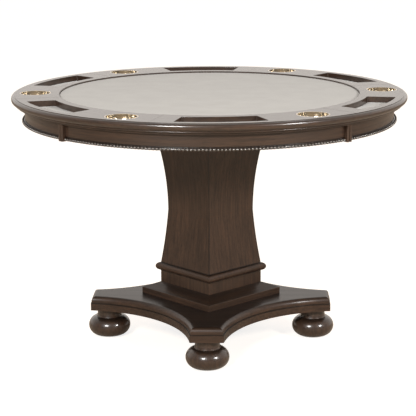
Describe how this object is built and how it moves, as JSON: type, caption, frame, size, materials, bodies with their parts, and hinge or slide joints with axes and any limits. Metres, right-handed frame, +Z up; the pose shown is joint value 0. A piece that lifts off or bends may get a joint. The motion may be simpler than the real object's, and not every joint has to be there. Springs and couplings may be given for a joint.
{
  "type": "gaming table",
  "caption": "Round pedestal gaming table with a cloth playing surface, a rim with counter trays and lift-out cups, and bun feet.",
  "frame": {"origin": "on the table's upright axis, on the floor", "axes": "+Z up; the four feet and the column's corners point along +X, -X, +Y and -Y"},
  "size_m": [1.219, 1.219, 0.7874],
  "materials": {
    "dark_wood": "dark grey-brown stain, satin lacquer",
    "raw_wood": "unfinished board",
    "cloth": "woven cloth",
    "felt": "pressed felt",
    "cup_metal": "polished",
    "fastener_steel": "zinc plated"
  },
  "bodies": {
    "table": {"apron_glue_blocks": "raw_wood", "apron_quarter_1": "dark_wood", "apron_quarter_2": "dark_wood", "apron_quarter_3": "dark_wood", "apron_quarter_4": "dark_wood", "apron_reed_strip_1": "dark_wood", "apron_reed_strip_2": "dark_wood", "apron_reed_strip_3": "dark_wood", "apron_reed_strip_4": "dark_wood", "base_bolts": "fastener_steel", "bead_rail_1": "dark_wood", "bead_rail_2": "dark_wood", "bead_rail_3": "dark_wood", "bead_rail_4": "dark_wood", "board_screws": "fastener_steel", "bun_foot_1": "dark_wood", "bun_foot_2": "dark_wood", "bun_foot_3": "dark_wood", "bun_foot_4": "dark_wood", "collar_board": "dark_wood", "column_bottom_block": "raw_wood", "column_panel_1": "dark_wood", "column_panel_2": "dark_wood", "column_panel_3": "dark_wood", "column_panel_4": "dark_wood", "column_top_block": "raw_wood", "column_top_plate": "raw_wood", "foot_bolts": "fastener_steel", "foot_glides": "felt", "platform_lower_board": "dark_wood", "platform_upper_board": "dark_wood", "playing_board": "raw_wood", "playing_cloth": "cloth", "plinth_block": "dark_wood", "rim_screws": "fastener_steel", "rim_segment_1": "dark_wood", "rim_segment_2": "dark_wood", "rim_segment_3": "dark_wood", "rim_segment_4": "dark_wood", "rim_segment_5": "dark_wood", "rim_segment_6": "dark_wood", "rim_splines": "raw_wood", "step_moulding_1": "dark_wood", "step_moulding_2": "dark_wood", "step_moulding_3": "dark_wood", "step_moulding_4": "dark_wood", "sub_top": "raw_wood", "top_plate_bolts": "fastener_steel", "tray_liner_1": "cloth", "tray_liner_2": "cloth", "tray_liner_3": "cloth", "tray_liner_4": "cloth", "tray_liner_5": "cloth", "tray_liner_6": "cloth"},
    "cup_1": {"cup_insert_1": "cup_metal"},
    "cup_2": {"cup_insert_2": "cup_metal"},
    "cup_3": {"cup_insert_3": "cup_metal"},
    "cup_4": {"cup_insert_4": "cup_metal"},
    "cup_5": {"cup_insert_5": "cup_metal"},
    "cup_6": {"cup_insert_6": "cup_metal"}
  },
  "joints": [
    {"name": "cup_1_lift", "type": "slide", "parent": "table", "child": "cup_1", "axis": [0, 0, 1], "range_m": [0, 0.05]},
    {"name": "cup_2_lift", "type": "slide", "parent": "table", "child": "cup_2", "axis": [0, 0, 1], "range_m": [0, 0.05]},
    {"name": "cup_3_lift", "type": "slide", "parent": "table", "child": "cup_3", "axis": [0, 0, 1], "range_m": [0, 0.05]},
    {"name": "cup_4_lift", "type": "slide", "parent": "table", "child": "cup_4", "axis": [0, 0, 1], "range_m": [0, 0.05]},
    {"name": "cup_5_lift", "type": "slide", "parent": "table", "child": "cup_5", "axis": [0, 0, 1], "range_m": [0, 0.05]},
    {"name": "cup_6_lift", "type": "slide", "parent": "table", "child": "cup_6", "axis": [0, 0, 1], "range_m": [0, 0.05]}
  ]
}
